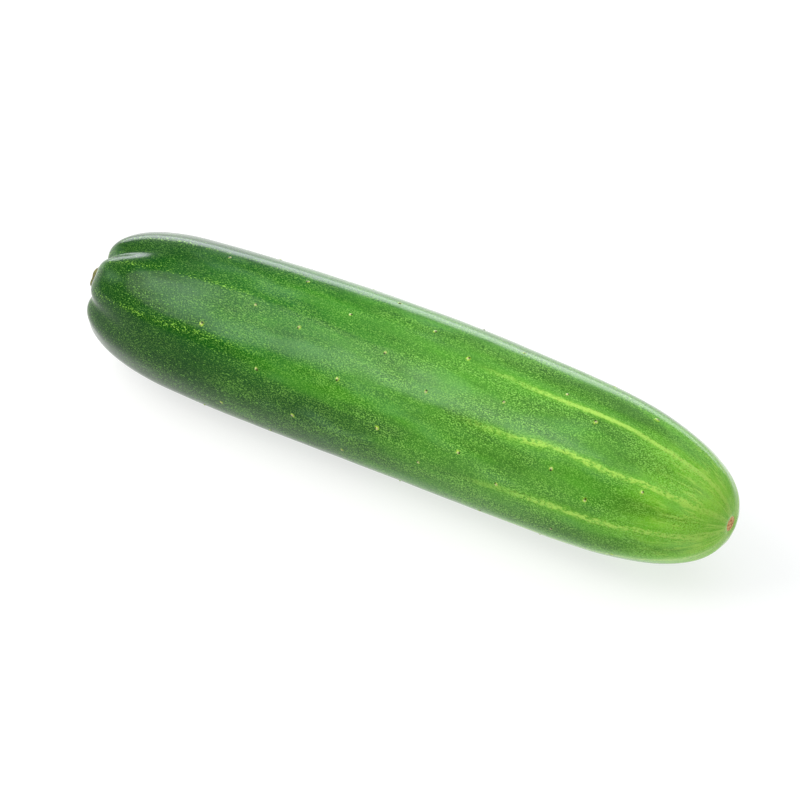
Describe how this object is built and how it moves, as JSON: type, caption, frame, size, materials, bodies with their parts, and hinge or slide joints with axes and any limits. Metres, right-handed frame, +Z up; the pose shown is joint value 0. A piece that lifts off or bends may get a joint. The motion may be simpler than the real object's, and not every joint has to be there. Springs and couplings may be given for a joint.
{
  "type": "slicing cucumber",
  "caption": "Whole slicing cucumber as picked, lying on its side, with a lobed stem end, a short stem stub and pale stripes near its blossom end.",
  "frame": {"origin": "on the surface that the cucumber lies on, under the middle of its bounding box", "axes": "+X along the cucumber towards its blossom end, +Y towards the side that it bows to, +Z up"},
  "size_m": [0.2216, 0.0516, 0.0495],
  "materials": {
    "skin": "waxy satin skin, dark green at the stem end and yellow-green at the blossom end",
    "stem_stub": "dry corky olive-brown stub with a paler cut face",
    "blossom_scar": "dry rough orange-brown scar",
    "spine_warts": "small dull warts with dark tips"
  },
  "bodies": {
    "root": {"cucumber": "skin"}
  },
  "joints": []
}
